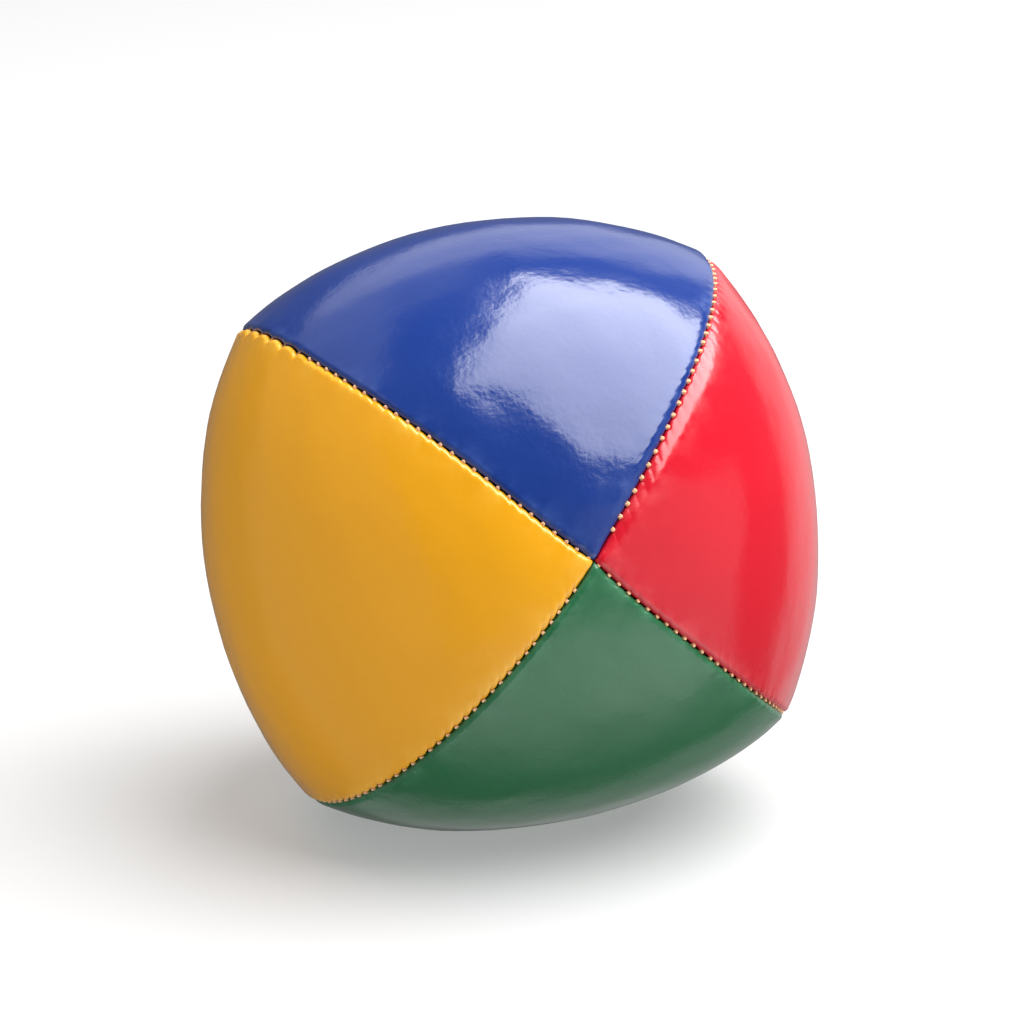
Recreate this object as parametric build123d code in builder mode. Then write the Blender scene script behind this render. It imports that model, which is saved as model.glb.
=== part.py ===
from build123d import *
import os
from math import atan2, cos, degrees, hypot, radians, sin, sqrt

# A four-panel juggling ball: four lens-shaped panels of synthetic leather, sewn together along seams
# that run from the front pole to the back pole, over a fill of loose pellets. Sizes are millimetres.
#
# Angles about the pole axis are azimuths, in degrees: a panel every 90, with a seam halfway between.
# The blue and red panels are sewn together first, and so are the yellow and green ones. The joining
# seam then runs all the way round, past both poles, except where the ball was filled and closed.

# Outer shape: a panel curves with flat_radius from pole to pole, and more gently from seam to seam,
# so that the ball's waist is a rounded square with its corners at the seams.
flat_radius = 31.0  # from the ball's centre to the middle of a panel
cross_radius = 43.6  # a panel's curve from seam to seam
leather_thickness = 0.7

# Seams: the edges of two panels turn inwards, face to face, and are sewn through.
seam_gap = 0.3  # between the two turned edges
turned_edge_depth = 4.0  # from the outer face down to the raw edge
shoulder_radius = 0.5  # where a panel rolls over into its seam
stitch_depth = 1.25  # from the outer face down to the stitch line
stitch_pitch = 1.35
stitch_radius = 0.18  # a thread where it passes through the edges
run_radius = 0.15  # a thread where it lies along the edge, inside
hole_radius = 0.22  # needle holes
thread_clearance = 0.02  # between a thread and the edge that it lies on
trim_reach = 2.2  # the first two seams' edges stop this far short of the joining seam

# The hand-sewn stretch that closes the ball, measured from the front pole.
closing_from = 70.0
closing_to = 120.0
closing_pitch = 2.8
knot_radius = 0.42

# The fill keeps clear of the panels, their turned edges and the threads.
fill_clearance = 0.05
fill_seam_room = 1.8  # on each side of a seam
fill_core_radius = 26.5  # inside the turned edges it is one round mass

# How the ball lies: its own weight flattens it where it rests.
rest_depth = 1.06
pole_pitch = 10.3  # the front pole points this far above the horizontal
pole_roll = 5.6  # the panels are turned this far about the pole axis

panel_azimuths = {"red_panel": 0, "blue_panel": 90, "yellow_panel": 180, "green_panel": 270}
first_seams = {"blue_red": 45, "yellow_green": 225}
filling_side = 135  # the joining seam's yellow and blue side, where the ball is closed
joining_sides = (filling_side, filling_side + 180)

# Worked out from the sizes above
arc_centre = flat_radius - cross_radius  # the middle of a panel's curve, from the ball's centre
edge_face = seam_gap / 2 + leather_thickness  # the inner face of a turned edge, from the seam
run_height = edge_face + thread_clearance + run_radius
stitch_top = run_height + stitch_radius
profile_reach = cross_radius * sin(radians(37))  # past the seams, which trim the panel


def ball_direction(azimuth):
    """The direction at an azimuth, square to the pole axis."""
    turn = radians(azimuth + pole_roll)
    pitch = radians(pole_pitch)
    return Vector(cos(turn), sin(turn) * sin(pitch), sin(turn) * cos(pitch))


front_pole = Vector(0, -cos(radians(pole_pitch)), sin(radians(pole_pitch)))


def height_of_centre():
    """The ball's centre above the rest face, from the lowest point of the green panel's surface."""
    spin_axis = ball_direction(panel_azimuths["green_panel"] + 90)
    down = Vector(0, 0, -1)
    outward = down - spin_axis * down.dot(spin_axis)
    lowest = outward.normalized() * arc_centre + down * cross_radius
    return -lowest.Z - rest_depth


centre = Vector(0, 0, height_of_centre())


def seam_plane(azimuth, side=1, offset=0.0):
    """A plane along a seam, at an offset to one side: X runs outwards and Z away from the seam."""
    normal = ball_direction(azimuth + 90 * side)
    return Plane(origin=centre + normal * offset, x_dir=ball_direction(azimuth), z_dir=normal)


def sector(azimuth, depth, first_inset, joining_inset, floor, shoulder=0.0):
    """The ball under one panel: below its face by depth, inside both its seams and above a floor."""
    spin_axis = ball_direction(azimuth + 90)
    radius = cross_radius - depth
    edge = arc_centre + sqrt(radius**2 - profile_reach**2)
    with BuildPart() as body:
        with BuildSketch(Plane(origin=centre, x_dir=front_pole, z_dir=-ball_direction(azimuth))):
            with BuildLine():
                Polyline((edge, -profile_reach), (0, -profile_reach), (0, profile_reach), (edge, profile_reach))
                ThreePointArc((edge, profile_reach), (arc_centre + radius, 0), (edge, -profile_reach))
            make_face()
        revolve(axis=Axis(centre, spin_axis), revolution_arc=180)
        for step in (-45, 45):
            seam = azimuth + step
            inset = joining_inset if seam % 360 in joining_sides else first_inset
            inward = -1 if step > 0 else 1
            split(bisect_by=seam_plane(seam, inward, inset), keep=Keep.TOP)
        if shoulder:
            fillet(body.edges().filter_by(GeomType.LINE, reverse=True), radius=shoulder)
        split(bisect_by=Plane.XY.offset(floor), keep=Keep.TOP)
    return body.part


def stitch_line(angle):
    """A point of the stitch line in its seam's plane, at an angle from the front pole.

    The plane's X runs outwards and its Y out of the back pole.
    """
    share = 1 - sin(angle) ** 2 / 2
    radius = arc_centre * sqrt(share) + sqrt((cross_radius - stitch_depth) ** 2 - arc_centre**2 * (1 - share))
    return radius * sin(angle), -radius * cos(angle)


def even_points(start, end, pitch, ends):
    """Points about a pitch apart along the stitch line, between two angles in degrees.

    They stand at both ends, or half a pitch inside them.
    """
    steps = 3000
    line = [stitch_line(radians(start + (end - start) * i / steps)) for i in range(steps + 1)]
    lengths = [0.0]
    for (x, y), (next_x, next_y) in zip(line, line[1:]):
        lengths.append(lengths[-1] + hypot(next_x - x, next_y - y))
    count = round(lengths[-1] / pitch)
    wanted = range(count + 1) if ends else [i + 0.5 for i in range(count)]
    return [min(zip(lengths, line), key=lambda at: abs(at[0] - lengths[-1] * i / count))[1] for i in wanted]


def angle_of(point):
    """A stitch line point's angle from the front pole, in degrees."""
    return degrees(atan2(point[0], -point[1]))


# Stitches from pole to pole. The first seams' stop short of the joining seam, and on its filling side
# the joining seam's stop a stitch short of the closing stitches.
seam_stitches = even_points(0, 180, stitch_pitch, ends=False)
first_stitches = [point for point in seam_stitches if point[0] > trim_reach]
closing_stitches = even_points(closing_from, closing_to, closing_pitch, ends=True)
closing_margin = degrees(stitch_pitch / flat_radius)
stitches_before = [point for point in seam_stitches if angle_of(point) < closing_from - closing_margin]
stitches_after = [point for point in seam_stitches if angle_of(point) > closing_to + closing_margin]
far_stitches = [(-x, y) for x, y in seam_stitches]
joining_stitches = stitches_before[::-1] + far_stitches + stitches_after[::-1]


def stitches_at(seam):
    """Every stitch along one seam, pole to pole, in the seam's plane."""
    if seam == filling_side:
        return stitches_before + closing_stitches + stitches_after
    return seam_stitches if seam in joining_sides else first_stitches


def needle_holes(azimuth):
    """The needle holes through both turned edges of a panel."""
    with BuildPart() as holes:
        for step in (-45, 45):
            seam = (azimuth + step) % 360
            inward = -1 if step > 0 else 1
            with BuildSketch(seam_plane(seam, inward)):
                with Locations(*[(x, y * inward) for x, y in stitches_at(seam)]):
                    Circle(hole_radius)
            extrude(amount=edge_face + thread_clearance)
    return holes.part


def panel(azimuth):
    """A panel: a curved skin with an edge turned inwards along both seams, cut away near the poles
    where the joining seam passes, and flat underneath where the ball rests on it."""
    outside = sector(azimuth, 0, seam_gap / 2, seam_gap / 2, 0, shoulder_radius)
    inside = sector(azimuth, leather_thickness, edge_face, edge_face, leather_thickness)
    below_edges = sector(azimuth, turned_edge_depth, 0, 0, leather_thickness)
    trimmed = sector(azimuth, leather_thickness, 0, edge_face, leather_thickness)
    joining_step = -45 if (azimuth - 45) % 360 in joining_sides else 45
    inward = 1 if joining_step < 0 else -1
    with BuildPart() as passage:
        add(trimmed)
        split(bisect_by=seam_plane(azimuth + joining_step, inward, trim_reach), keep=Keep.BOTTOM)
    holes = needle_holes(azimuth)
    with BuildPart() as body:
        add(outside)
        for cut in (inside, below_edges, passage.part, holes):
            add(cut, mode=Mode.SUBTRACT)
    return body


def machine_thread(seam, stitches, side):
    """One of a machine seam's two threads: it lies along one turned edge and dips through each hole
    to meet the other thread in the middle of the seam."""
    points = [(x, y * side) for x, y in stitches]
    with BuildPart() as thread:
        with BuildLine(seam_plane(seam, side, run_height)) as route:
            Polyline(*points)
        with BuildSketch(Plane(origin=route.line @ 0, z_dir=route.line % 0)):
            Circle(run_radius)
        sweep(path=route.line, transition=Transition.RIGHT)
        with BuildSketch(seam_plane(seam, side)):
            with Locations(*points):
                Circle(stitch_radius)
        extrude(amount=stitch_top)
    return thread


def hand_thread(seam, stitches):
    """A running stitch through both turned edges, on one side and then the other, with a knot at its end."""
    seam_face = seam_plane(seam)
    knot_height = edge_face + thread_clearance + knot_radius
    knot_centre = (stitches[-1][0] * 0.99, stitches[-1][1] * 0.99, knot_height)
    with BuildPart() as thread:
        with BuildSketch(seam_face):
            with Locations(*stitches):
                Circle(stitch_radius)
        extrude(amount=stitch_top, both=True)
        for i, (start, end) in enumerate(zip(stitches, stitches[1:])):
            height = run_height if i % 2 else -run_height
            run_start = seam_face.from_local_coords((*start, height))
            run_end = seam_face.from_local_coords((*end, height))
            with BuildSketch(Plane(origin=run_start, z_dir=run_end - run_start)):
                Circle(run_radius)
            extrude(amount=(run_end - run_start).length)
        with Locations(seam_face.from_local_coords(knot_centre)):
            Sphere(knot_radius)
    return thread


def fill():
    """The pellets, as one mass: a round core with a lobe out to the middle of each panel."""
    depth = leather_thickness + fill_clearance
    lobes = [sector(azimuth, depth, fill_seam_room, fill_seam_room, depth) for azimuth in panel_azimuths.values()]
    with BuildPart() as body:
        with Locations(centre):
            Sphere(fill_core_radius)
        add(lobes)
    return body


pieces = {name: panel(azimuth) for name, azimuth in panel_azimuths.items()}
for name, seam in first_seams.items():
    pieces[f"{name}_needle_thread"] = machine_thread(seam, first_stitches, 1)
    pieces[f"{name}_bobbin_thread"] = machine_thread(seam, first_stitches, -1)
pieces["joining_seam_needle_thread"] = machine_thread(filling_side, joining_stitches, 1)
pieces["joining_seam_bobbin_thread"] = machine_thread(filling_side, joining_stitches, -1)
pieces["closing_thread"] = hand_thread(filling_side, closing_stitches)
pieces["pellet_fill"] = fill()

os.makedirs("parts", exist_ok=True)
for name, piece in pieces.items():
    piece.part.label = name
    export_step(piece.part, f"parts/{name}.step")
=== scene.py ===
"""A four-panel juggling ball: glossy synthetic leather gores, sewn with turned-in seams over loose pellets.

Shapes are worked out in millimetres in the ball's own frame: Z runs out of the front pole, where the
panels' tips meet, and each panel is centred on an azimuth about it. place() turns them into the row's
frame, in metres.
"""
import bmesh
import bpy
import numpy as np
from math import atan2, cos, pi, radians, sin, sqrt
from mathutils import Matrix, Vector


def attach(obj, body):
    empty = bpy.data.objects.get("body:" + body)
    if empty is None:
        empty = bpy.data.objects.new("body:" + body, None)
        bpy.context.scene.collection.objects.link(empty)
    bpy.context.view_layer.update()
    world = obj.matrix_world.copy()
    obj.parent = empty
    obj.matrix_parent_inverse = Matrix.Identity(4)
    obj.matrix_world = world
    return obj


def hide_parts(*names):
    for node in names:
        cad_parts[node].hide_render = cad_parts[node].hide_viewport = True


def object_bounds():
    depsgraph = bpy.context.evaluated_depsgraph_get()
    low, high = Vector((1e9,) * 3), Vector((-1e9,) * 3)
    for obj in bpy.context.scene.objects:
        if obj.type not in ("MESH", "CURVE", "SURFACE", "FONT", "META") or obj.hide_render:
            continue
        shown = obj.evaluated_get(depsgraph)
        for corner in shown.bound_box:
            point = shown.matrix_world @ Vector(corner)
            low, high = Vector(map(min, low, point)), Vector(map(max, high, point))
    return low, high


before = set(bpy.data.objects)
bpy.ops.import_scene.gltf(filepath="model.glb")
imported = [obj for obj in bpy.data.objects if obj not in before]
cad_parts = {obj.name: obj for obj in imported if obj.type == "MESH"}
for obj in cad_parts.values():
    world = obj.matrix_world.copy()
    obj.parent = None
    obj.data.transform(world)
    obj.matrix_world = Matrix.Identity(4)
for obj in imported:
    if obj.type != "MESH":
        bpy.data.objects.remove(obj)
cad_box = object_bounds()

MM = 0.001

# The ball's shape, as in the design
FLAT_RADIUS = 31.0  # from the ball's centre to the middle of a panel
CROSS_RADIUS = 43.6  # of a panel's curve from seam to seam
ARC_CENTRE = FLAT_RADIUS - CROSS_RADIUS  # where that curve's centre is, on the way out to the panel
LEATHER = 0.7  # thickness
TURNED_EDGE = 4.0  # how deep a panel's edges are turned in
SEAM_GAP = 0.3  # between the turned edges of two panels
STITCHES_POLE_TO_POLE = 73
CLOSING_FROM = 70.0  # where the filling gap began, in degrees from the front pole
CLOSING_TO = 120.0
CLOSING_PITCH = 2.8
POLE_PITCH = radians(10.3)  # how far above the horizontal the front pole points
POLE_ROLL = radians(5.6)  # how far the panels are turned about it

PANELS = {"red": 0, "blue": 90, "yellow": 180, "green": 270}
SEAMS = {"blue_red": 45, "yellow_blue": 135, "yellow_green": 225, "red_green": 315}

# How this hand-filled ball strays from the plain shape. Towards the poles each seam leans aside, in
# degrees, where the panels were not sewn quite square.
SEAM_LEAN = {"blue_red": 3, "yellow_blue": 2, "yellow_green": 1, "red_green": -8}
SETTLED = 0.7  # the fill has settled: the top panel stands in this far, and the two lower seams out
POLE_ASIDE = 1.0  # each pole lies this far to one side, and as far down
POLE_REACH = radians(25)
REST_BLEND = 0.5  # how softly the floor presses the skin flat
REST_REACH = 6  # and how high above the floor that still tells

random = np.random.default_rng(7)


# ---------------------------------------------------------------- the ball's frame

def ball_axes():
    """The ball's X, Y and Z in the row's frame: Z is pitched up from -Y, and X and Y turned about it."""
    z = np.array([0, -cos(POLE_PITCH), sin(POLE_PITCH)])
    across = np.array([1.0, 0, 0])
    up = np.array([0, sin(POLE_PITCH), cos(POLE_PITCH)])
    x = across * cos(POLE_ROLL) + up * sin(POLE_ROLL)
    y = up * cos(POLE_ROLL) - across * sin(POLE_ROLL)
    return x, y, z


BALL_X, BALL_Y, BALL_Z = ball_axes()


def ball_centre():
    """The ball's centre: under the top of the box by the reach of the blue panel's surface."""
    spin_axis = BALL_X
    outward = np.array([0, 0, 1.0]) - spin_axis * spin_axis[2]
    reach = outward[2] / np.linalg.norm(outward) * ARC_CENTRE + CROSS_RADIUS
    return np.array([0, 0, cad_box[1].z / MM - reach])


CENTRE = ball_centre()


def hump(turn, half):
    """A smooth window, 1 where turn is 0 and 0 from half outwards, in degrees. Windows spaced half
    apart add up to 1."""
    turn = (turn + 180) % 360 - 180
    return np.where(np.abs(turn) < half, np.cos(np.radians(turn) * 90 / half) ** 2, 0.0)


def uneven(points):
    """The hand-filled ball's own shape: azimuths turned by the seams' lean, which grows with the
    square of the polar angle's cosine, and the waist's radius scaled by how the fill has settled,
    which fades with the square of its sine; then the poles shifted sideways."""
    radius = np.linalg.norm(points, axis=-1)
    height = points[..., 2] / radius
    girth = np.sqrt(np.maximum(1 - height**2, 0))
    azimuth = np.degrees(np.arctan2(points[..., 1], points[..., 0]))
    turn = sum(lean * hump(azimuth - SEAMS[name], 90) for name, lean in SEAM_LEAN.items()) * height**2
    lower_seams = hump(azimuth - SEAMS["yellow_green"], 45) + hump(azimuth - SEAMS["red_green"], 45)
    swell = SETTLED / FLAT_RADIUS * (lower_seams - hump(azimuth - PANELS["blue"], 90))
    radius = radius * (1 + swell * girth**2)
    azimuth = np.radians(azimuth + turn)
    polar = np.arccos(np.clip(height, -1, 1))
    shift = POLE_ASIDE * np.exp(-((polar / POLE_REACH) ** 2))
    return np.stack([radius * girth * np.cos(azimuth) - shift, radius * girth * np.sin(azimuth) - shift,
                     radius * height], -1)


def place(points, depth=0.0):
    """Points of the ball's frame, in the row's frame and in millimetres. Whatever would be lower than
    the floor, plus its depth under the ball's skin, is pressed up to it with a smooth maximum, less
    what that would still add at REST_REACH."""
    points = uneven(points)
    row = CENTRE + points[..., :1] * BALL_X + points[..., 1:2] * BALL_Y + points[..., 2:] * BALL_Z
    over = row[..., 2] - depth
    pressed = (over + np.sqrt(over**2 + REST_BLEND**2)) / 2
    row[..., 2] = np.where(over < REST_REACH, pressed - REST_BLEND**2 / 4 / REST_REACH, over) + depth
    return row


def turned(points, azimuth):
    """Points turned about the pole axis by an azimuth in degrees."""
    a = radians(azimuth)
    x, y = points[..., 0], points[..., 1]
    return np.stack([x * cos(a) - y * sin(a), x * sin(a) + y * cos(a), points[..., 2]], -1)


def barrel(angle, y, depth):
    """A panel's surface, depth below its face: a circle arc of CROSS_RADIUS less depth, spun about
    the panel's Y, at an angle of the spin and a distance y from the panel's middle."""
    spin_radius = ARC_CENTRE + np.sqrt((CROSS_RADIUS - depth) ** 2 - y**2)
    return np.stack([spin_radius * np.sin(angle), y, spin_radius * np.cos(angle)], -1)


def side_reach(angle, from_seam, depth):
    """How far from the panel's middle its surface comes within from_seam of the seam's plane, where
    x - y is from_seam times the root of 2: the larger root of that quadratic in y."""
    s = np.sin(angle)
    e = sqrt(2) * from_seam / s - ARC_CENTRE
    a = 1 + 1 / s**2
    return (-e / s + np.sqrt(np.maximum(e**2 / s**2 - a * (e**2 - (CROSS_RADIUS - depth) ** 2), 0))) / a


SEAM_SAMPLES = 4001
OFF_POLE = 1e-5  # the sampled angles keep this far from the poles, where the seam's formula divides by 0


def measure_seam():
    """The length along a seam, pole to pole, at each of many spin angles."""
    angle = np.linspace(OFF_POLE, pi - OFF_POLE, SEAM_SAMPLES)
    line = barrel(angle, side_reach(angle, 0.0, 0.0), 0.0)
    steps = np.linalg.norm(np.diff(line, axis=0), axis=1)
    return angle, np.concatenate([[0], np.cumsum(steps)])


SEAM_ANGLES, SEAM_LENGTHS = measure_seam()
SEAM_LENGTH = SEAM_LENGTHS[-1]
PITCH = SEAM_LENGTH / STITCHES_POLE_TO_POLE


def spin_angle(length):
    """The spin angle at a length along a seam."""
    return np.interp(length, SEAM_LENGTHS, SEAM_ANGLES)


def length_at_polar(degrees_from_pole):
    """The length along a seam at an angle from the front pole: there, the polar angle's tangent is
    the root of 2 times the spin angle's."""
    polar = radians(degrees_from_pole)
    return float(np.interp(atan2(sin(polar) / sqrt(2), cos(polar)), SEAM_ANGLES, SEAM_LENGTHS))


def seam_point(seam, length, depth, offset):
    """A point near a seam: at a length along it, below the face by depth, and off its plane."""
    angle = spin_angle(length)
    y = side_reach(angle, 0.0, depth)
    edge = barrel(angle, y, depth)
    along = np.stack([sqrt(2) * edge[..., 1], offset + 0 * edge[..., 1], edge[..., 2]], -1)
    return turned(along, seam)


# ---------------------------------------------------------------- seams and stitches

JOINING_SEAMS = ("yellow_blue", "red_green")
FIRST_SEAM_START = 2  # the first seams' machine stitches begin this many from the joining seam
STITCH_WOBBLE = 0.05
HAND_WOBBLE = 3 * STITCH_WOBBLE
CLEAR_OF_HAND = 0.8  # machine stitches keep this many pitches from the hand-sewn ones
SCALLOP = 0.7  # the power that makes full scallops of a sine


def stitch_lengths(name):
    """Where a seam's stitches are, as lengths along it, and which of them are sewn by hand: machine
    stitches a pitch apart, half a pitch from the poles, and the closing stitches between their ends."""
    machine = (np.arange(STITCHES_POLE_TO_POLE) + 0.5) * PITCH
    if name not in JOINING_SEAMS:
        machine = machine[FIRST_SEAM_START:-FIRST_SEAM_START]
    machine = machine + random.normal(0, STITCH_WOBBLE, machine.shape)
    if name != "yellow_blue":
        return machine, np.zeros(len(machine), bool)
    start, end = length_at_polar(CLOSING_FROM), length_at_polar(CLOSING_TO)
    hand = np.linspace(start, end, round((end - start) / CLOSING_PITCH) + 1)
    hand = hand + random.normal(0, HAND_WOBBLE, hand.shape)
    before = machine[machine < hand[0] - CLEAR_OF_HAND * PITCH]
    after = machine[machine > hand[-1] + CLEAR_OF_HAND * PITCH]
    lengths = np.concatenate([before, hand, after])
    return lengths, np.isin(lengths, hand)


STITCHES = {name: stitch_lengths(name) for name in SEAMS}


def between_stitches(name, length):
    """How far a place along a seam is between stitches: 0 at each stitch and 1 halfway to the next, as
    a sine to the power of SCALLOP, so that the edge is a row of full scallops with a tight notch at
    each stitch. Also how much the place belongs to the hand-sewn stretch, from 0 to 1."""
    lengths, hand = STITCHES[name]
    phase = np.interp(length, lengths, np.arange(len(lengths)))
    tooth = np.abs(np.sin(pi * phase)) ** SCALLOP
    inside = (length > lengths[0]) & (length < lengths[-1])
    tooth = np.where(inside, tooth, 1.0)
    by_hand = np.interp(length, lengths, hand.astype(float))
    return tooth, by_hand


# ---------------------------------------------------------------- meshes

WELD = 1e-6  # metres: points nearer than this are made one


def quads(rows, columns, first=0, flip=False, wrap=False):
    """The faces of a grid whose corners are numbered row by row from first. wrap joins the last
    column to the first, and flip turns the faces over."""
    numbers = first + np.arange(rows * columns).reshape(rows, columns)
    if wrap:
        numbers = np.concatenate([numbers, numbers[:, :1]], 1)
    a, b = numbers[:-1, :-1].ravel(), numbers[:-1, 1:].ravel()
    c, d = numbers[1:, 1:].ravel(), numbers[1:, :-1].ravel()
    return np.stack([a, d, c, b] if flip else [a, b, c, d], 1)


def mesh_object(name, points, faces, materials, face_material=None, amounts=None, pattern=None,
                merge=False):
    """A smooth mesh from points in millimetres and faces, which are lists of corner numbers. amounts
    are one number a point, by name, pattern is each point's place on the flat cloth, in metres, and
    merge makes one of points that lie in one place."""
    mesh = bpy.data.meshes.new(name)
    mesh.from_pydata((points * MM).tolist(), [], faces)
    for material in materials:
        mesh.materials.append(material)
    if face_material is not None:
        mesh.polygons.foreach_set("material_index", np.asarray(face_material, np.int32))
    for label, values in (amounts or {}).items():
        attribute = mesh.attributes.new(label, "FLOAT", "POINT")
        attribute.data.foreach_set("value", values.astype(np.float32))
    if pattern is not None:
        corners = np.empty(len(mesh.loops), np.int32)
        mesh.loops.foreach_get("vertex_index", corners)
        cloth = mesh.uv_layers.new(name="cloth")
        cloth.data.foreach_set("uv", (pattern * MM)[corners].astype(np.float32).ravel())
    if merge:
        work = bmesh.new()
        work.from_mesh(mesh)
        bmesh.ops.remove_doubles(work, verts=work.verts, dist=WELD)
        work.to_mesh(mesh)
        work.free()
    mesh.polygons.foreach_set("use_smooth", np.ones(len(mesh.polygons), bool))
    mesh.update()
    piece = bpy.data.objects.new(name, mesh)
    bpy.context.scene.collection.objects.link(piece)
    return piece


def soft_noise(points, size, count=24, seed=1):
    """Smooth unevenness, about 1 high and size across: a sum of sine waves in random directions."""
    waves = np.random.default_rng(seed)
    direction = waves.normal(size=(count, 3))
    direction /= np.linalg.norm(direction, axis=1)[:, None]
    direction *= (2 * pi / size) * waves.uniform(0.6, 1.5, count)[:, None]
    shift = waves.uniform(0, 2 * pi, count)
    return np.sin(points @ direction.T + shift).sum(-1) * sqrt(2 / count)


# ---------------------------------------------------------------- panels

# How far each panel's edge rounds over towards its seams: across the panel and down
SHOULDER = (0.65, 0.65)
SOFT_SHOULDERS = {("red", "blue_red"): (1.7, 0.75), ("blue", "blue_red"): (1.1, 0.7)}
ROWS_PER_STITCH = 8
TIP_DROP = 0.75  # how far a panel's tip sinks in where four panels meet
EDGE_DEPTHS = np.array([TURNED_EDGE, 3.2, 2.4, 1.7])
SHOULDER_TURNS = np.radians(np.linspace(90, 8, 9))
MID_COLUMNS = 46
CROWDING = 0.13  # how much closer together those are near the seams
INNER_DEPTHS = np.array([TURNED_EDGE, 2.8, 1.6])
INNER_COLUMNS = 15
TIP_ROOM = 0.98  # how much of the room beside a tip's middle a shoulder may take
PUCKER = 0.09  # how deep a machine stitch pulls the panels' edges down
HAND_PUCKER = 0.3
PUCKER_REACH = 0.45  # how far from the edge that is still felt
HAND_TOOTH = 0.35  # how far the hand stitches pull the edge from side to side
# How far the machine's pull it, where the yellow panel's edge laps over its neighbour's
MACHINE_TOOTH = {"yellow_green": 0.16, "yellow_blue": 0.05}
TOOTH_REST = 0.45  # of a tooth's reach, how much lies short of the edge's own line
TIP_CLEAR = 0.6  # nothing is pulled this near to a tip
TIP_FADE = 1.2  # and the pull is full this much further on
EDGE_GAP = 0.05  # from the seam's plane to an edge, between stitches
STITCH_GAP = 0.10  # and at one
DENT = 0.03  # how high the unevenness is that the pellets press into the skin
DENT_SIZE = 11.0
FINE_DENT = 0.4 * DENT
FINE_DENT_SIZE = 4.5
DENT_FADE = 1.5
WEAR_AND_HIGHLIGHT_REACH = 0.9  # how far past a panel's shoulder the skin is scuffed and carries its painted highlight


def leaning(angle, depth):
    """The spin angle that a point of a deeper surface takes, so that the turned edges run straight
    down: larger by depth over the radius left, times the sine and cosine of the angle."""
    return angle + depth / (FLAT_RADIUS - depth) * np.sin(angle) * np.cos(angle)


def tip_length(from_seam):
    """How far from the pole, along a seam, a panel's tip comes to a point, this far from both seams."""
    return float(np.interp(np.arcsin(sqrt(2) * from_seam / FLAT_RADIUS), SEAM_ANGLES, SEAM_LENGTHS))


def edge_pull(seam, length, leans):
    """How a panel's edge moves with its stitches: its gap from the seam's plane, and how far it is
    pulled down. Both fade out at the panel's tips. leans is 1 for an edge that laps over the seam
    between stitches, and -1 for the edge under it."""
    tooth, by_hand = between_stitches(seam, length)
    fade = np.clip((np.minimum(length, SEAM_LENGTH - length) - TIP_CLEAR) / TIP_FADE, 0, 1)
    reach = HAND_TOOTH * by_hand + MACHINE_TOOTH.get(seam, 0) * (1 - by_hand)
    gap = (EDGE_GAP + fade * (STITCH_GAP - EDGE_GAP) * (1 - tooth)
           - fade * leans * reach * (tooth - TOOTH_REST))
    pull = fade * (1 - tooth) * (PUCKER + (HAND_PUCKER - PUCKER) * by_hand)
    return gap, pull


def on_cloth(y, depth, length):
    """Where points lie on the flat cloth: across it, their way round to the turned edges, and along."""
    return np.stack([y + np.sign(y) * depth, np.broadcast_to(length, y.shape)], -1)


def panel_side(name, side, length, middle, tip_drop):
    """One side of a panel, as rows up the turned edge and round the shoulder, an arc of a quarter
    circle stretched to its reach across and its drop: how far each point is from the seam's plane and
    how deep. Then the edge's gap beside that plane, the shoulder's reach and the stitches' pull."""
    seam = next(n for n, a in SEAMS.items() if a == (PANELS[name] + 45 * side) % 360)
    gap, pull = edge_pull(seam, length, 1 if name == "yellow" else -1)
    reach, drop = SOFT_SHOULDERS.get((name, seam), SHOULDER)
    reach = np.minimum(reach, np.maximum(middle - gap, 0) * TIP_ROOM)
    drop = np.minimum(drop, reach)
    edge = np.broadcast_to(gap, (len(length), len(EDGE_DEPTHS)))
    past_edge = reach * (1 - np.sin(SHOULDER_TURNS))
    down = tip_drop + pull * np.exp(-past_edge / PUCKER_REACH) + drop * (1 - np.cos(SHOULDER_TURNS))
    from_seam = np.concatenate([edge, gap + past_edge], 1)
    depth = np.concatenate([np.broadcast_to(EDGE_DEPTHS, edge.shape), down], 1)
    return from_seam, depth, gap, reach, pull


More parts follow.
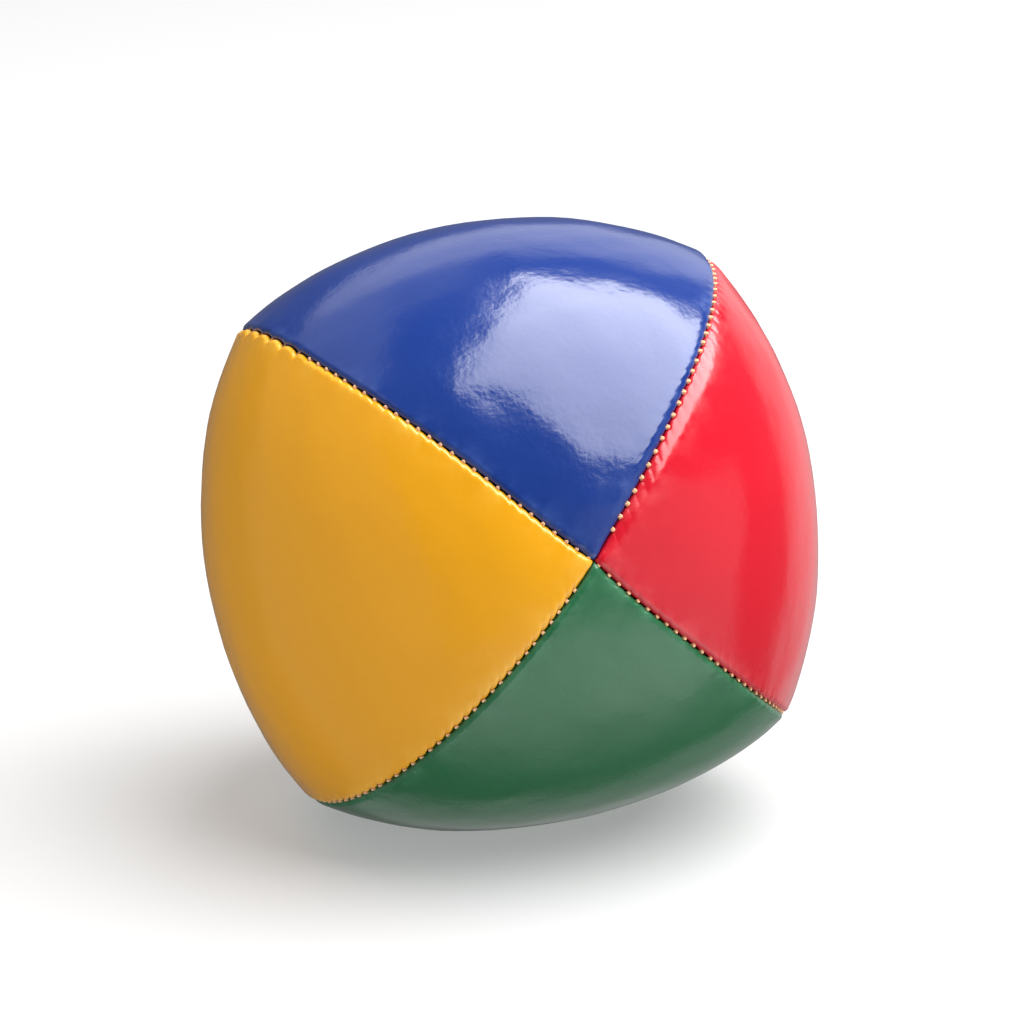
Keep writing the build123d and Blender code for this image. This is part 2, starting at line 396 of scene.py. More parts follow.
def panel_outside(name):
    """A panel's outer face, as rows across it from one raw edge to the other: up the turned edge,
    round the shoulder, over the face and down the other side. Also how deep each point is, how much
    it is scuffed and painted with a highlight along the shoulders, and where it lies on the flat
    cloth. The face's own columns are shared out evenly, less CROWDING times a sine, and the scuffing
    and painted highlight fade with the distance past the shoulder."""
    tip = tip_length(EDGE_GAP)
    rows = STITCHES_POLE_TO_POLE * ROWS_PER_STITCH
    length = np.linspace(tip, SEAM_LENGTH - tip, rows)[:, None]
    angle = spin_angle(length)
    middle = FLAT_RADIUS * np.sin(angle) / sqrt(2)  # from the middle of the panel to either seam's plane
    room = np.clip((middle - EDGE_GAP) / SHOULDER[0], 0, 1)
    tip_drop = TIP_DROP * (1 - np.sqrt(1 - (1 - room) ** 2))
    sides = {side: panel_side(name, side, length, middle, tip_drop) for side in (-1, 1)}
    borders, ends = [], []
    for side, (from_seam, depth, gap, reach, _) in sides.items():
        y = side * np.maximum(side_reach(leaning(angle, depth), from_seam, depth), 0)
        borders.append((y, depth))
        ends.append(side * np.maximum(side_reach(angle, gap + reach, tip_drop), 0))
    share = np.linspace(0, 1, MID_COLUMNS)
    share = share - CROWDING * np.sin(2 * pi * share)
    y = ends[0] + (ends[1] - ends[0]) * share
    depth = tip_drop + 0 * y
    # scuffing and painted highlight: 1 on the turned edges and shoulders, fading onto the face
    wear_and_highlight = 0 * y
    spin_radius = ARC_CENTRE + np.sqrt(CROSS_RADIUS**2 - y**2)
    for side, (_, _, gap, reach, pull) in sides.items():
        from_seam = (spin_radius * np.sin(angle) - side * y) / sqrt(2)
        past_edge = np.maximum(from_seam - gap, 0)
        depth = depth + pull * np.exp(-past_edge / PUCKER_REACH)
        wear_and_highlight = np.maximum(wear_and_highlight, np.exp(-np.maximum(past_edge - reach, 0) / WEAR_AND_HIGHLIGHT_REACH))
    (low_y, low_depth), (high_y, high_depth) = borders
    y = np.concatenate([low_y, y, high_y[:, ::-1]], 1)
    depth = np.concatenate([low_depth, depth, high_depth[:, ::-1]], 1)
    wear_and_highlight = np.concatenate([np.ones(low_y.shape), wear_and_highlight, np.ones(high_y.shape)], 1)
    y[[0, -1]] = 0
    return barrel(leaning(angle, depth), y, depth), depth, wear_and_highlight, on_cloth(y, depth, length)


def panel_inside(rows):
    """A panel's back, LEATHER below its face and inside both turned edges, in as many rows."""
    inset = SEAM_GAP / 2 + LEATHER
    tip = tip_length(inset)
    length = np.linspace(tip, SEAM_LENGTH - tip, rows)[:, None]
    angle = spin_angle(length)
    depth = np.broadcast_to(INNER_DEPTHS, (rows, len(INNER_DEPTHS)))
    edge = np.maximum(side_reach(leaning(angle, depth), inset, depth), 0)
    reach = np.maximum(side_reach(leaning(angle, LEATHER), inset, LEATHER), 0)
    y = np.concatenate([-edge, reach * np.linspace(-1, 1, INNER_COLUMNS), edge[:, ::-1]], 1)
    depth = np.concatenate([depth, np.full((rows, INNER_COLUMNS), LEATHER), depth[:, ::-1]], 1)
    y[[0, -1]] = 0
    return barrel(leaning(angle, depth), y, depth), on_cloth(y, depth, length)


def dented(points, depth):
    """Points pushed along the way out from the centre by what the pellets press into the skin: two
    sizes of smooth unevenness, which fade with depth."""
    push = DENT * soft_noise(points, DENT_SIZE) + FINE_DENT * soft_noise(points, FINE_DENT_SIZE, seed=2)
    fade = np.exp(-np.maximum(depth, 0) / DENT_FADE)
    return points * (1 + (push * fade) / FLAT_RADIUS)[..., None]


def make_panel(name, face_material, back_material):
    """A panel as one closed skin: its face, its back and the raw edges that join them."""
    azimuth = PANELS[name]
    outside, outside_depth, wear_and_highlight, outside_cloth = panel_outside(name)
    inside, inside_cloth = panel_inside(len(outside))
    outside = place(dented(turned(outside, azimuth), outside_depth))
    inside = place(turned(inside, azimuth), LEATHER)
    rows, across = outside.shape[:2]
    inner_across = inside.shape[1]
    points = np.concatenate([outside.reshape(-1, 3), inside.reshape(-1, 3)])
    pattern = np.concatenate([outside_cloth.reshape(-1, 2), inside_cloth.reshape(-1, 2)])
    wear_and_highlight = np.concatenate([wear_and_highlight.ravel(), np.zeros(rows * inner_across)])
    first = rows * across
    front = quads(rows, across, flip=True)
    back = quads(rows, inner_across, first)
    outer_numbers = np.arange(first).reshape(rows, across)
    inner_numbers = first + np.arange(rows * inner_across).reshape(rows, inner_across)
    rims = []
    for column, flip in ((0, False), (-1, True)):
        a, b = outer_numbers[:-1, column], inner_numbers[:-1, column]
        c, d = inner_numbers[1:, column], outer_numbers[1:, column]
        rims.append(np.stack([a, d, c, b] if flip else [a, b, c, d], 1))
    faces = np.concatenate([front, back, *rims])
    kinds = np.concatenate([np.zeros(len(front)), np.ones(len(faces) - len(front))])
    return mesh_object(f"{name}_panel_leather", points, faces.tolist(), [face_material, back_material], kinds,
                       amounts={"wear_and_highlight": wear_and_highlight}, pattern=pattern, merge=True)


# ---------------------------------------------------------------- threads

THREAD = 0.125  # radius
PLIES = 3
PLY_TURN = 0.75  # the length in which the plies turn once
PLY_GROOVE = 0.84  # of the radius, in the groove between two plies
PLY_CROWN = 0.24  # and how much more at a ply's crown
RING = 10
RING_SPACING = 0.065
RUN_HEIGHT = SEAM_GAP / 2 + LEATHER + 0.18  # from the seam's plane to a thread that runs along the back
RUN_DEPTH = 1.25
NEEDLE_DEPTH = 0.33  # of the needle thread's middle at a stitch
BOBBIN_DEPTH = 0.55  # and of the bobbin thread's, which passes under it
PAST_PLANE = 0.05  # how far past the seam's plane each of them goes there
DIP_HALF = 0.15
DIP_SAMPLES = 48  # points of a thread's path from one stitch to the next
RUN_ON = 0.5  # how far a machine thread runs on past its last stitch
CLOSING_THREAD = 0.16  # radius
CLOSING_DEPTH = 0.62
CLOSING_SAMPLES = 90
CLOSING_RUN_ON = 1
CROSSING_HALF = 0.14  # half the length in which the closing thread crosses the seam
RISE_HALF = 0.35  # and in which it rises to a stitch
KNOT = 0.16  # a third of the knot's radius
KNOT_PAST = 0.5  # how far past the end of the thread the knot's middle is
KNOT_SUNK = 0.3
KNOT_SAMPLES = 120


def tube(path, radius):
    """A twisted thread along a path: rings square to it, whose radius swells with each ply as the
    plies turn along its length. The rings' second axis is square to the way out of the ball."""
    along = np.gradient(path, axis=0)
    step = np.linalg.norm(along, axis=1)
    along /= step[:, None]
    out = path / np.linalg.norm(path, axis=1)[:, None]
    side = np.cross(along, out)
    side /= np.linalg.norm(side, axis=1)[:, None]
    up = np.cross(side, along)
    travelled = np.cumsum(step)[:, None]
    around = np.linspace(0, 2 * pi, RING, endpoint=False)[None]
    ply = np.abs(np.cos(PLIES / 2 * (around - 2 * pi * travelled / PLY_TURN)))
    swell = radius * (PLY_GROOVE + PLY_CROWN * ply)
    ring = np.cos(around)[..., None] * side[:, None] + np.sin(around)[..., None] * up[:, None]
    return path[:, None] + ring * swell[..., None], ply


def evenly(path, spacing=RING_SPACING):
    """A path's points moved along it to one spacing."""
    travelled = np.concatenate([[0], np.cumsum(np.linalg.norm(np.diff(path, axis=0), axis=1))])
    wanted = np.linspace(0, travelled[-1], int(travelled[-1] / spacing))
    return np.stack([np.interp(wanted, travelled, path[:, i]) for i in range(3)], 1)


def thread_object(name, path, material, radius=THREAD):
    """A thread's tube, with its ends closed."""
    rings, ply = tube(evenly(path), radius)
    points = place(rings).reshape(-1, 3)
    sides = quads(len(rings), RING, wrap=True, flip=True)
    ends = [place(rings[i].mean(0)) for i in (0, -1)]
    low = len(points)
    turn = np.roll(np.arange(RING), -1)
    last = low - RING
    start = np.stack([np.full(RING, low), np.arange(RING), turn], 1)
    end = np.stack([np.full(RING, low + 1), last + turn, last + np.arange(RING)], 1)
    faces = sides.tolist() + start.tolist() + end.tolist()
    ply = np.concatenate([ply.ravel(), [0.5, 0.5]])
    return mesh_object(name, np.concatenate([points, ends]), faces, [material], amounts={"ply": ply})


def lockstitch(seam, lengths, side):
    """One thread of a machine seam: it lies along the back of one turned edge, RUN_HEIGHT off the
    seam's plane, and at each stitch dips just past the plane and nearer the surface, with a window
    that is flat in the middle: the exponential of minus the distance's fourth power."""
    length = np.linspace(lengths[0] - RUN_ON, lengths[-1] + RUN_ON, len(lengths) * DIP_SAMPLES)
    from_stitch = np.abs(length[:, None] - lengths[None]).min(1)
    dip = np.exp(-((from_stitch / DIP_HALF) ** 4))
    offset = side * (RUN_HEIGHT - (RUN_HEIGHT + PAST_PLANE) * dip)
    depth = RUN_DEPTH - (RUN_DEPTH - (NEEDLE_DEPTH if side > 0 else BOBBIN_DEPTH)) * dip
    return seam_point(SEAMS[seam], length, depth, offset)


def joining_route(side):
    """The joining seam's thread: from the closing stretch over the front pole, down the other side of
    the ball and over the back pole to the closing stretch again."""
    lengths, hand = STITCHES["yellow_blue"]
    first_hand, last_hand = np.flatnonzero(hand)[[0, -1]]
    before = lockstitch("yellow_blue", lengths[:first_hand], side)[::-1]
    after = lockstitch("yellow_blue", lengths[last_hand + 1:], side)[::-1]
    far = lockstitch("red_green", STITCHES["red_green"][0], side)
    return np.concatenate([before, far, after])


def closing_route():
    """The closing thread: it lies along one turned edge, crosses the seam at a stitch, lies along the
    other edge to the next and crosses back, as a product of hyperbolic tangents, one a stitch; at its
    end it is knotted, in a trefoil, which is a circle of twice KNOT that goes in and out by KNOT three
    times while it goes round twice."""
    lengths, hand = STITCHES["yellow_blue"]
    lengths = lengths[hand]
    length = np.linspace(lengths[0] - CLOSING_RUN_ON, lengths[-1] + CLOSING_RUN_ON,
                         len(lengths) * CLOSING_SAMPLES)
    crossing = np.tanh((length[:, None] - lengths[None]) / CROSSING_HALF)
    side = np.prod(crossing, axis=1)
    near = np.exp(-((np.abs(length[:, None] - lengths[None]).min(1) / RISE_HALF) ** 2))
    depth = RUN_DEPTH - (RUN_DEPTH - CLOSING_DEPTH) * near
    path = seam_point(SEAMS["yellow_blue"], length, depth, side * RUN_HEIGHT)
    t = np.linspace(0, 2 * pi, KNOT_SAMPLES)
    radius = KNOT * (2 + np.cos(3 * t))
    last = path[-1]
    out = last / np.linalg.norm(last)
    along = path[-1] - path[-6]
    along /= np.linalg.norm(along)
    side_way = np.cross(out, along)
    knot = (last + along * KNOT_PAST - out * KNOT_SUNK + (radius * np.cos(2 * t))[:, None] * along
            + (radius * np.sin(2 * t))[:, None] * side_way + (KNOT * np.sin(3 * t))[:, None] * out)
    return np.concatenate([path, knot])


# ---------------------------------------------------------------- pellets

PELLET = 2.0  # radius
PELLET_FLATNESS = 0.72
PELLET_SPACING = 4.15
PELLET_SHAKE = 0.12
PELLET_CLEAR = 0.2  # from a pellet to the panels' backs
EDGE_CLEAR = 1.4  # from a pellet to the plane of a seam, where the turned edges are in its way
LATTICE_HALF = 12
PELLET_RINGS = (35, 90, 145)
PELLET_SIDES = 8
GOLDEN = (sqrt(5) - 1) / 2  # its multiples' remainders give each pellet its own shade


def pellet_places():
    """Where the pellets lie: a close-packed lattice, whose three steps are the edges of a regular
    tetrahedron, shaken a little and kept where a pellet has room under the panels and beside their
    turned edges."""
    i, j, k = np.meshgrid(*[np.arange(-LATTICE_HALF, LATTICE_HALF + 1)] * 3, indexing="ij")
    lattice = np.stack([i + j / 2 + k / 2, j * sqrt(3) / 2 + k * sqrt(3) / 6, k * sqrt(2 / 3)], -1)
    lattice = lattice.reshape(-1, 3)
    lattice = lattice * PELLET_SPACING + random.normal(0, PELLET_SHAKE, lattice.shape)
    azimuth = np.degrees(np.arctan2(lattice[:, 1], lattice[:, 0]))
    nearest = np.round(azimuth / 90) * 90
    a = np.radians(-nearest)
    x = lattice[:, 0] * np.cos(a) - lattice[:, 1] * np.sin(a)
    y = lattice[:, 0] * np.sin(a) + lattice[:, 1] * np.cos(a)
    depth = CROSS_RADIUS - np.hypot(np.hypot(x, lattice[:, 2]) - ARC_CENTRE, y)
    from_seam = (x - np.abs(y)) / sqrt(2)
    beside_edges = (depth > TURNED_EDGE + PELLET) | (from_seam > EDGE_CLEAR + PELLET)
    return lattice[(depth > LEATHER + PELLET + PELLET_CLEAR) & beside_edges]


def make_pellets(material):
    """The fill: rounded, slightly flat pellets, each turned its own way by a random quaternion, in
    one mesh."""
    centres = pellet_places()
    polar = np.radians(PELLET_RINGS)[:, None]
    around = np.linspace(0, 2 * pi, PELLET_SIDES, endpoint=False)[None]
    ring = np.stack([np.sin(polar) * np.cos(around), np.sin(polar) * np.sin(around),
                     np.cos(polar) * PELLET_FLATNESS + 0 * around], -1).reshape(-1, 3)
    shape = np.concatenate([ring, [[0, 0, PELLET_FLATNESS]], [[0, 0, -PELLET_FLATNESS]]]) * PELLET
    sides = quads(len(PELLET_RINGS), PELLET_SIDES, wrap=True, flip=True)
    turn = np.roll(np.arange(PELLET_SIDES), -1)
    top, bottom = len(shape) - 2, len(shape) - 1
    last = (len(PELLET_RINGS) - 1) * PELLET_SIDES
    around_top = np.stack([np.full(PELLET_SIDES, top), np.arange(PELLET_SIDES), turn], 1)
    around_bottom = np.stack([np.full(PELLET_SIDES, bottom), last + turn, last + np.arange(PELLET_SIDES)], 1)
    caps = np.concatenate([around_top, around_bottom])
    q = random.normal(size=(len(centres), 4))
    w, x, y, z = (q / np.linalg.norm(q, axis=1)[:, None]).T
    spin = np.stack([1 - 2 * (y * y + z * z), 2 * (x * y - z * w), 2 * (x * z + y * w),
                     2 * (x * y + z * w), 1 - 2 * (x * x + z * z), 2 * (y * z - x * w),
                     2 * (x * z - y * w), 2 * (y * z + x * w), 1 - 2 * (x * x + y * y)], -1).reshape(-1, 3, 3)
    points = centres[:, None] + np.einsum("nij,kj->nki", spin, shape)
    points = place(points.reshape(-1, 3), LEATHER)
    start = (np.arange(len(centres)) * len(shape))[:, None, None]
    faces = (start + sides).reshape(-1, 4).tolist() + (start + caps).reshape(-1, 3).tolist()
    batch = np.repeat(np.arange(len(centres)) * GOLDEN % 1, len(shape))
    return mesh_object("pellets", points, faces, [material], amounts={"batch": batch})


# ---------------------------------------------------------------- materials

WALE = 0.0009  # metres, from column to column of the knitted back
COURSE = 0.0007  # and from row to row


def mathed(nodes, links, operation, *values):
    """A Math node's result on values, each a number or another node's output."""
    node = nodes.new("ShaderNodeMath")
    node.operation = operation
    for socket, value in zip(node.inputs, values):
        if isinstance(value, (int, float)):
            socket.default_value = value
        else:
            links.new(value, socket)
    return node.outputs[0]


def new_material(name):
    """A new material, its nodes, its links and its shader."""
    material = bpy.data.materials.new(name)
    material.use_nodes = True
    tree = material.node_tree
    return material, tree.nodes, tree.links, tree.nodes["Principled BSDF"]


def noise(nodes, links, vector, scale, detail=2.0, distortion=0.0):
    """A Noise texture on vector, as one number."""
    node = nodes.new("ShaderNodeTexNoise")
    node.inputs["Scale"].default_value = scale
    node.inputs["Detail"].default_value = detail
    node.inputs["Distortion"].default_value = distortion
    links.new(vector, node.inputs["Vector"])
    return node.outputs["Fac"]


def ranged(nodes, links, value, low, high, to_low, to_high):
    """value carried from the range low to high to the range to_low to to_high, and kept in it."""
    node = nodes.new("ShaderNodeMapRange")
    links.new(value, node.inputs["Value"])
    for socket, number in zip(("From Min", "From Max", "To Min", "To Max"), (low, high, to_low, to_high)):
        node.inputs[socket].default_value = number
    return node.outputs["Result"]


def mixed(nodes, links, share, first, second):
    """The colour between first and second, each three numbers or another node's output, by share."""
    node = nodes.new("ShaderNodeMix")
    node.data_type = "RGBA"
    links.new(share, node.inputs["Factor"])
    for socket, colour in (("A", first), ("B", second)):
        if isinstance(colour, tuple):
            node.inputs[socket].default_value = (*colour, 1)
        else:
            links.new(colour, node.inputs[socket])
    return node.outputs["Result"]


def bumped(nodes, links, height, distance, under=None):
    """The normal of a surface raised by height times distance, in metres, on top of under."""
    node = nodes.new("ShaderNodeBump")
    node.inputs["Distance"].default_value = distance
    links.new(height, node.inputs["Height"])
    if under is not None:
        links.new(under, node.inputs["Normal"])
    return node.outputs["Normal"]


def amount(nodes, name):
    """A number that the mesh carries at each point."""
    node = nodes.new("ShaderNodeAttribute")
    node.attribute_name = name
    return node.outputs["Fac"]


def glossy_leather(name, colour, deep, rub_and_highlight_colour):
    """Polyurethane-coated cloth: a smooth, glossy skin with a fine grain and a slight orange peel.
    Its colour drifts slowly between colour and deep, with a fine speckle. Along the panel's shoulders,
    where the mesh's scuff-and-highlight amount is high, it is painted paler in short patches, partly as
    scuffing and partly as a painted highlight, and is made duller there."""
    material, nodes, links, skin = new_material(name)
    where = nodes.new("ShaderNodeTexCoord").outputs["Object"]
    drift = noise(nodes, links, where, 90, 3)
    speckle = noise(nodes, links, where, 1400, 2)
    share = mathed(nodes, links, "ADD", drift, mathed(nodes, links, "MULTIPLY_ADD", speckle, 0.5, -0.25))
    tinted = mixed(nodes, links, share, colour, deep)
    patches = ranged(nodes, links, noise(nodes, links, where, 420, 3), 0.42, 0.62, 0.0, 1.0)
    wear_and_highlight = mathed(nodes, links, "MULTIPLY", amount(nodes, "wear_and_highlight"), patches)
    # paler in patches along the shoulders: partly scuffing, partly a painted highlight
    worn_and_highlit = mixed(nodes, links, mathed(nodes, links, "MULTIPLY", wear_and_highlight, 0.45), tinted, rub_and_highlight_colour)
    links.new(worn_and_highlit, skin.inputs["Base Color"])
    smears = ranged(nodes, links, noise(nodes, links, where, 55, 4, 0.6), 0.35, 0.7, 0.135, 0.185)
    links.new(mathed(nodes, links, "MULTIPLY_ADD", wear_and_highlight, 0.12, smears), skin.inputs["Roughness"])
    grain = bumped(nodes, links, noise(nodes, links, where, 2200), 0.000014)
    peel = bumped(nodes, links, noise(nodes, links, where, 340), 0.00005, grain)
    links.new(peel, skin.inputs["Normal"])
    skin.inputs["Specular IOR Level"].default_value = 0.6
    return material


def backing_cloth():
    """The knitted back of the coated cloth: columns of loops WALE apart, each loop COURSE long and
    leaning as a chevron, with painted shade between the loops, and a little fluff."""
    material, nodes, links, cloth = new_material("knitted backing")
    flat = nodes.new("ShaderNodeUVMap")
    flat.uv_map = "cloth"
    parts = nodes.new("ShaderNodeSeparateXYZ")
    links.new(flat.outputs["UV"], parts.inputs[0])
    across = mathed(nodes, links, "DIVIDE", parts.outputs["X"], WALE)
    column = mathed(nodes, links, "PINGPONG", across, 0.5)
    along = mathed(nodes, links, "DIVIDE", parts.outputs["Y"], COURSE)
    lean = mathed(nodes, links, "MULTIPLY_ADD", column, -0.6, along)
    row = mathed(nodes, links, "PINGPONG", lean, 0.5)
    crown = mathed(nodes, links, "SINE", mathed(nodes, links, "MULTIPLY", column, pi))
    loop = mathed(nodes, links, "MULTIPLY", crown, mathed(nodes, links, "MULTIPLY", row, 2.0))
    fluff = noise(nodes, links, nodes.new("ShaderNodeTexCoord").outputs["Object"], 1800, 4)
    height = mathed(nodes, links, "MULTIPLY_ADD", fluff, 0.5, loop)
    # painted shade: darker where the loops are low, lighter on their crowns
    links.new(mixed(nodes, links, height, (0.50, 0.48, 0.43), (0.80, 0.78, 0.73)), cloth.inputs["Base Color"])
    links.new(bumped(nodes, links, height, 0.00012), cloth.inputs["Normal"])
    cloth.inputs["Roughness"].default_value = 0.95
    cloth.inputs["Sheen Weight"].default_value = 0.25
    return material


def twisted_thread(name, colour, groove_shade):
    """Twisted yarn: colour on its plies' crowns and a darker painted shade in the groove between two
    plies, where the mesh's ply is low, broken up by fine fibres."""
    material, nodes, links, yarn = new_material(name)
    where = nodes.new("ShaderNodeTexCoord").outputs["Object"]
    fibres = noise(nodes, links, where, 9000, 3, 1.5)
    share = mathed(nodes, links, "MULTIPLY_ADD", amount(nodes, "ply"), 0.75,
                   mathed(nodes, links, "MULTIPLY_ADD", fibres, 0.6, -0.12))
    # painted shade: the darker colour where the mesh's ply is low, between the plies
    links.new(mixed(nodes, links, share, groove_shade, colour), yarn.inputs["Base Color"])
    links.new(bumped(nodes, links, fibres, 0.00001), yarn.inputs["Normal"])
    links.new(ranged(nodes, links, fibres, 0.3, 0.7, 0.5, 0.75), yarn.inputs["Roughness"])
    yarn.inputs["Sheen Weight"].default_value = 0.3
    return material


def granulate():
    """Moulded plastic pellets: off-white, each a shade of its own, with a satin skin, faint flow marks
    and a dusting where they rub together."""
    material, nodes, links, plastic = new_material("plastic granulate")
    where = nodes.new("ShaderNodeTexCoord").outputs["Object"]
    flow = noise(nodes, links, where, 900, 3, 1.0)
    own = mathed(nodes, links, "MULTIPLY", amount(nodes, "batch"), 0.6)
    shade = mathed(nodes, links, "MULTIPLY_ADD", flow, 0.4, own)
    tinted = mixed(nodes, links, shade, (0.86, 0.84, 0.78), (0.70, 0.66, 0.56))
    links.new(tinted, plastic.inputs["Base Color"])
    dust = noise(nodes, links, where, 3500, 4)
    links.new(ranged(nodes, links, dust, 0.35, 0.7, 0.28, 0.55), plastic.inputs["Roughness"])
    links.new(bumped(nodes, links, dust, 0.00002), plastic.inputs["Normal"])
    return material


# ---------------------------------------------------------------- the ball

# Each leather's two colours, and the paler colour of its shoulders, partly scuffing and partly a painted
# highlight
LEATHERS = {
    "red": ((0.52, 0.006, 0.019), (0.48, 0.005, 0.016), (0.62, 0.05, 0.06)),
    "blue": ((0.006, 0.030, 0.185), (0.005, 0.026, 0.165), (0.03, 0.07, 0.26)),
    "yellow": ((0.77, 0.345, 0.005), (0.73, 0.32, 0.004), (0.86, 0.46, 0.04)),
    "green": ((0.011, 0.120, 0.043), (0.009, 0.108, 0.039), (0.05, 0.20, 0.10)),
}
backing = backing_cloth()
for name in PANELS:
    panel = make_panel(name, glossy_leather(f"{name} glossy leather", *LEATHERS[name]), backing)
    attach(panel, "root")
    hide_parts(f"{name}_panel")

# the second colour is the painted shade between the plies
thread_material = twisted_thread("twisted sewing thread", (0.88, 0.52, 0.28), (0.62, 0.32, 0.14))
routes = {}
for name in ("blue_red", "yellow_green"):
    routes[f"{name}_needle_thread"] = lockstitch(name, STITCHES[name][0], 1)
    routes[f"{name}_bobbin_thread"] = lockstitch(name, STITCHES[name][0], -1)
routes["joining_seam_needle_thread"] = joining_route(1)
routes["joining_seam_bobbin_thread"] = joining_route(-1)
for node, route in routes.items():
    thread = thread_object(f"{node}_twisted", route, thread_material)
    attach(thread, "root")
    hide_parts(node)
# the second colour is the painted shade between the plies
hand_thread = twisted_thread("hand sewing thread", (0.62, 0.30, 0.09), (0.38, 0.16, 0.04))
closing = thread_object("closing_thread_twisted", closing_route(), hand_thread, CLOSING_THREAD)
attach(closing, "root")
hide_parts("closing_thread")
pellets = make_pellets(granulate())
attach(pellets, "root")
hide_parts("pellet_fill")


# ---------------------------------------------------------------- the studio

CAMERA_AZIMUTH = radians(-17.2)
CAMERA_ELEVATION = radians(16.3)
CAMERA_DISTANCE = 16 * FLAT_RADIUS
CAMERA_LENS = 173.3
AIM_RIGHT = 0.1  # millimetres from the ball's centre to where the camera points
AIM_UP = 0.95
FLOOR_HALF = 3.0  # metres


def camera_axes():
    """The camera's right, its up and the way back to it from the ball."""
    a, e = CAMERA_AZIMUTH, CAMERA_ELEVATION
    back = np.array([sin(a) * cos(e), -cos(a) * cos(e), sin(e)])
    right = np.array([cos(a), sin(a), 0])
    return right, np.cross(back, right), back


RIGHT, UP, BACK = camera_axes()


def look(obj, place_mm, target_mm):
    """Puts an object at a place, looking at a target."""
    obj.location = Vector(place_mm * MM)
    obj.rotation_euler = Vector((target_mm - place_mm) * MM).to_track_quat("-Z", "Y").to_euler()


def make_camera():
    """The camera, which points a little past the ball's centre."""
    data = bpy.data.cameras.new("camera")
    data.lens = CAMERA_LENS
    camera = bpy.data.objects.new("camera", data)
    bpy.context.scene.collection.objects.link(camera)
    aim = CENTRE + RIGHT * AIM_RIGHT + UP * AIM_UP
    look(camera, CENTRE + BACK * CAMERA_DISTANCE, aim)
    bpy.context.scene.camera = camera


def way_out(right, up, back):
    """A direction given as shares of the camera's right, up and back, as one unit vector."""
    way = RIGHT * right + UP * up + BACK * back
    return way / np.linalg.norm(way)


def make_softbox(name, centre, facing, across, distance, width, height, radiance, fade=0.0):
    """A rectangle of light: centre is its way from the ball, facing the way that its face looks back
    along, and across the way that its width runs, all as shares of the camera's right, up and back.
    distance, width and height are in metres, and fade is how far its brightness leans: so much darker
    at one edge, and brighter at the other."""
    data = bpy.data.lights.new(name, "AREA")
    data.shape = "RECTANGLE"
    data.size, data.size_y = width, height
    data.energy = radiance * pi * width * height
    data.use_nodes = True
    nodes, links = data.node_tree.nodes, data.node_tree.links
    across_light = nodes.new("ShaderNodeSeparateXYZ")
    links.new(nodes.new("ShaderNodeNewGeometry").outputs["Parametric"], across_light.inputs[0])
    falloff = mathed(nodes, links, "MULTIPLY_ADD", across_light.outputs["Y"], 2 * fade, 1.0 - fade)
    links.new(falloff, nodes["Emission"].inputs["Strength"])
    light = bpy.data.objects.new(name, data)
    bpy.context.scene.collection.objects.link(light)
    z = way_out(*facing)
    x = way_out(*across)
    x -= z * (x @ z)
    x /= np.linalg.norm(x)
    y = np.cross(z, x)
    turn = Matrix(np.stack([x, y, z], 1).tolist()).to_4x4()
    light.matrix_world = Matrix.Translation(Vector(CENTRE * MM + way_out(*centre) * distance)) @ turn
    return light


def make_floor():
    """A sheet of white paper, which gives a little light of its own and isn't mirrored."""
    corners = [(x * FLOOR_HALF, y * FLOOR_HALF, 0) for x, y in ((-1, -1), (1, -1), (1, 1), (-1, 1))]
    mesh = bpy.data.meshes.new("floor")
    mesh.from_pydata(corners, [], [(0, 1, 2, 3)])
    material, nodes, links, paper = new_material("white paper")
    paper.inputs["Base Color"].default_value = (0.34, 0.34, 0.34, 1)
    paper.inputs["Emission Color"].default_value = (1, 1, 1, 1)
    paper.inputs["Emission Strength"].default_value = 0.32
    paper.inputs["Roughness"].default_value = 0.8
    mesh.materials.append(material)
    floor = bpy.data.objects.new("floor", mesh)
    floor.visible_glossy = False
    bpy.context.scene.collection.objects.link(floor)


# The ways of two slanting edges
UP_RIGHT = (0.61, 0.71, 0.345)
DOWN_RIGHT = (0.87, -0.49, 0.13)

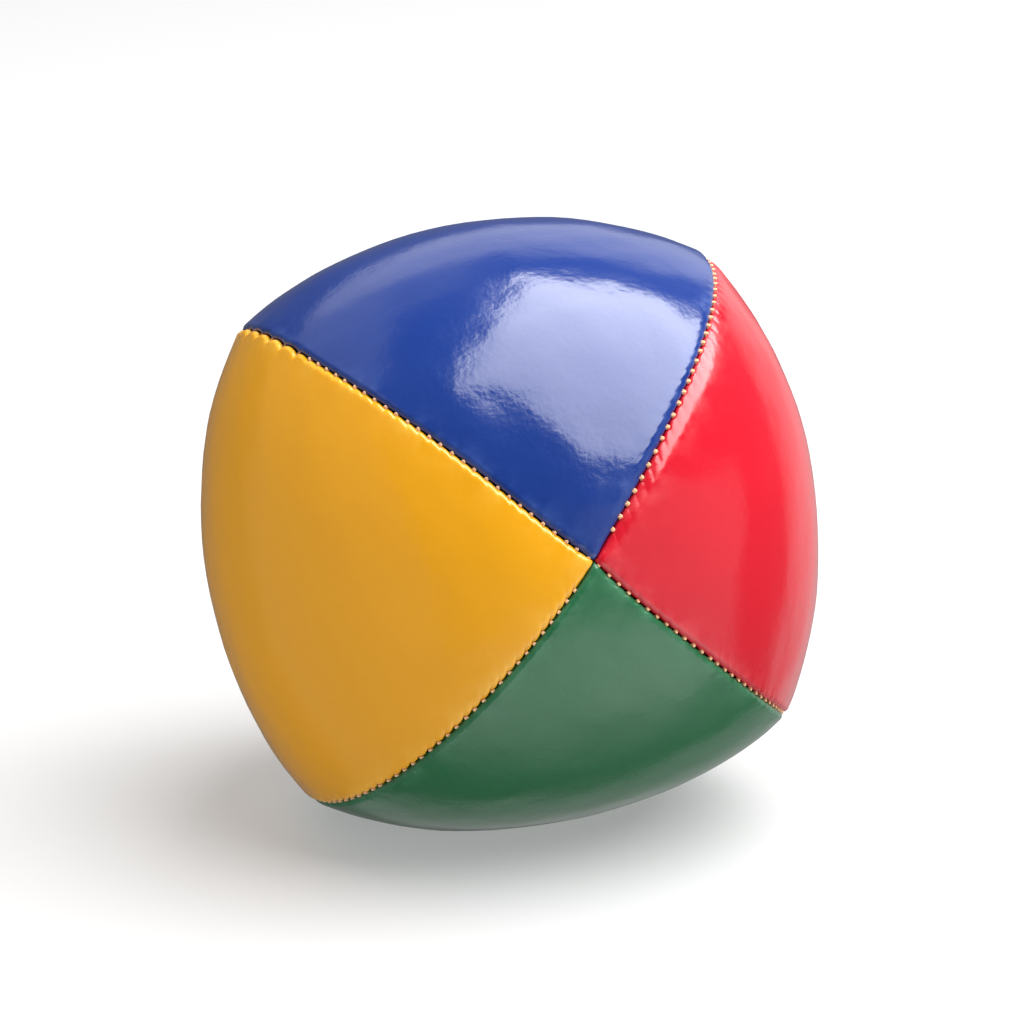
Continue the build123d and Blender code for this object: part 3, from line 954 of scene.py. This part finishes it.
# What the gloss mirrors besides the softbox. Each card has a brightness and its edges: an edge is a
# way, as shares of the camera's right, up and back, and how far along it the card begins and is full.
CARDS = {
    "backdrop above": (0.95, [
        ((0, 0, -1), 0.42, 0.64),
        (UP_RIGHT, 0.02, 0.07),
        ((0, 1, 0), 0.1, 0.6),
        ((-1, 0, 0), -0.6, -0.3),
    ]),
    "backdrop": (0.28, [
        ((0, 0, -1), 0.50, 0.72),
        (DOWN_RIGHT, -0.04, 0.06),
    ]),
    "backdrop right": (0.28, [
        ((0, 0, -1), 0.45, 0.66),
        ((1, 0, 0), 0.1, 0.5),
        ((0, 1, 0), -0.4, -0.1),
    ]),
    "left strip": (0.62, [
        (UP_RIGHT, 0.02, 0.07),
        ((-1, 0, -0.17), 0.33, 0.39),
        ((0, 1, 0), 0.2, 0.5),
        ((0, 0, 1), -0.68, -0.48),
    ]),
    "streaks above": (0.42, [
        ((-1, 0, 0), 0.02, 0.16),
        ((1, 0, 0.17), -0.39, -0.33),
        ((0, 1, 0), 0.5, 0.8),
        ((0, 0, -1), 0.0, 0.25),
        ((0, 0, 1), -0.68, -0.48),
    ]),
    "right card": (0.55, [
        ((1, 0, 0), 0.3, 0.7),
        ((0, 0, 1), -0.14, -0.04),
        ((0, -1, 0), -0.24, -0.12),
    ]),
    "table in front": (1.3, [
        ((0.7, -0.7, 0), 0.2, 0.65),
        ((0, -1, 0), 0.34, 0.7),
        ((0, 0, 1), -0.65, 0.4),
        ((1, 0, 0.8), -0.3, 0.2),
    ]),
    "left wall": (0.22, [
        ((-0.94, -0.34, 0), 0.5, 0.68),
        ((0, 0, 1), -0.5, -0.26),
    ]),
}
ROOM = 0.16  # the brightness of the rest of the room


def make_world():
    """The room round the ball: the cards' brightnesses added to its own. A card is the product of its
    smooth edges. Only its mirror image in the gloss and its light show: the camera sees white."""
    world = bpy.data.worlds.new("studio")
    bpy.context.scene.world = world
    world.use_nodes = True
    nodes, links = world.node_tree.nodes, world.node_tree.links
    way = nodes.new("ShaderNodeTexCoord").outputs["Generated"]
    total = ROOM
    for brightness, edges in CARDS.values():
        card = brightness
        for direction, begins, full in edges:
            along = nodes.new("ShaderNodeVectorMath")
            along.operation = "DOT_PRODUCT"
            along.inputs[1].default_value = way_out(*direction)
            links.new(way, along.inputs[0])
            edge = nodes.new("ShaderNodeMapRange")
            edge.interpolation_type = "SMOOTHSTEP"
            edge.inputs["From Min"].default_value = begins
            edge.inputs["From Max"].default_value = full
            links.new(along.outputs["Value"], edge.inputs["Value"])
            card = mathed(nodes, links, "MULTIPLY", card, edge.outputs["Result"])
        total = mathed(nodes, links, "ADD", total, card)
    seen = nodes.new("ShaderNodeLightPath").outputs["Is Camera Ray"]
    links.new(mathed(nodes, links, "MAXIMUM", total, seen), nodes["Background"].inputs["Strength"])
    nodes["Background"].inputs["Color"].default_value = (1, 1, 1, 1)


make_camera()
make_floor()
make_world()
make_softbox("overhead softbox", centre=(0.395, 0.862, 0.317), facing=(0.59, 0.77, 0.24),
             across=(0.78, -0.62, 0.08), distance=0.82, width=0.98, height=0.98, radiance=7.8, fade=0.3)
fill = make_softbox("fill from the left", centre=(-0.6, 0.35, 0.72), facing=(-0.6, 0.35, 0.72),
                    across=(0.77, 0, 0.64), distance=1.1, width=1.2, height=1.2, radiance=0.5)
fill.visible_glossy = False
bpy.context.scene.view_settings.view_transform = "Standard"
